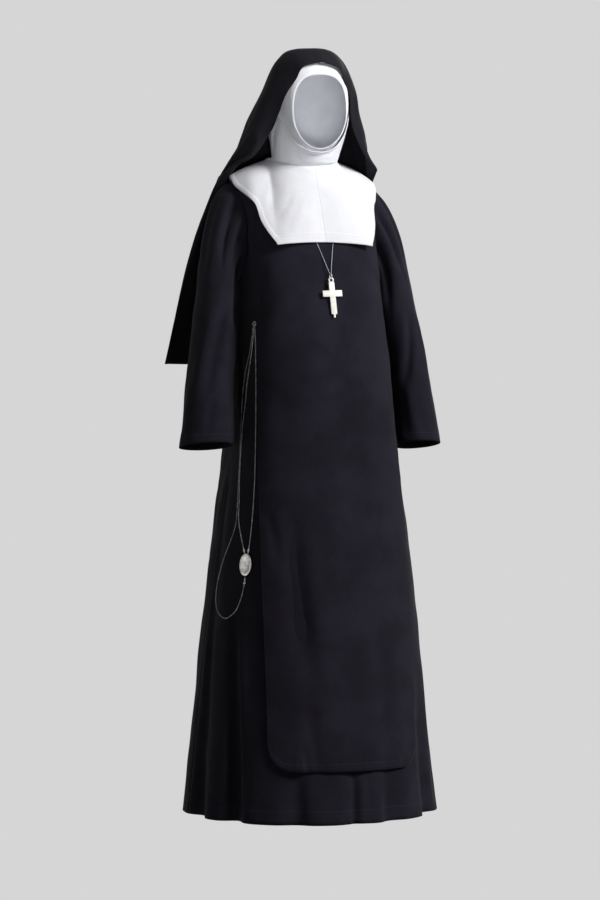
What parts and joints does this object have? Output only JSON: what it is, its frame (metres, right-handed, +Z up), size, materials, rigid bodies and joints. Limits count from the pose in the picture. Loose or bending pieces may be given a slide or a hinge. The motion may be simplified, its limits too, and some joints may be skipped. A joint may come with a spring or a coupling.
{
  "type": "nun habit",
  "caption": "Worn nun habit as a hollow garment: long black tunic, scapular, white coif and guimpe, back veil, cross on a cord and rosary at the hip.",
  "frame": {"origin": "between the shoulders at their height, 1.43 m above the floor that the wearer stands on, where the wearer's shoulders carry the garment", "axes": "+Z up, -Y to the front, +X to the wearer's left"},
  "size_m": [0.568, 0.5077, 1.5724],
  "materials": {
    "black_cloth": "matt plain weave",
    "veil_cloth": "matt fine weave",
    "white_cloth": "smooth stretch cotton",
    "cord": "twisted cord",
    "ivory": "satin",
    "metal": "aged silver tone",
    "beads": "beads on a metal chain"
  },
  "bodies": {
    "habit": {"coif": "white_cloth", "cross_ring": "metal", "guimpe_back": "white_cloth", "guimpe_front": "white_cloth", "guimpe_neck": "white_cloth", "neck_cord": "cord", "rosary_chain_a": "beads", "rosary_chain_b": "beads", "rosary_chain_c": "beads", "rosary_hook": "metal", "rosary_medal": "metal", "scapular_back": "black_cloth", "scapular_front": "black_cloth", "sleeve_left": "black_cloth", "sleeve_right": "black_cloth", "tunic_back": "black_cloth", "tunic_front": "black_cloth", "veil": "veil_cloth"},
    "pendant": {"cross": "ivory"}
  },
  "joints": [
    {"name": "cross_swing", "type": "hinge", "parent": "habit", "child": "pendant", "pos_m": [0, -0.15665, -0.20062], "axis": [0, -0.982, 0.1889], "range_deg": [-35, 35]}
  ]
}
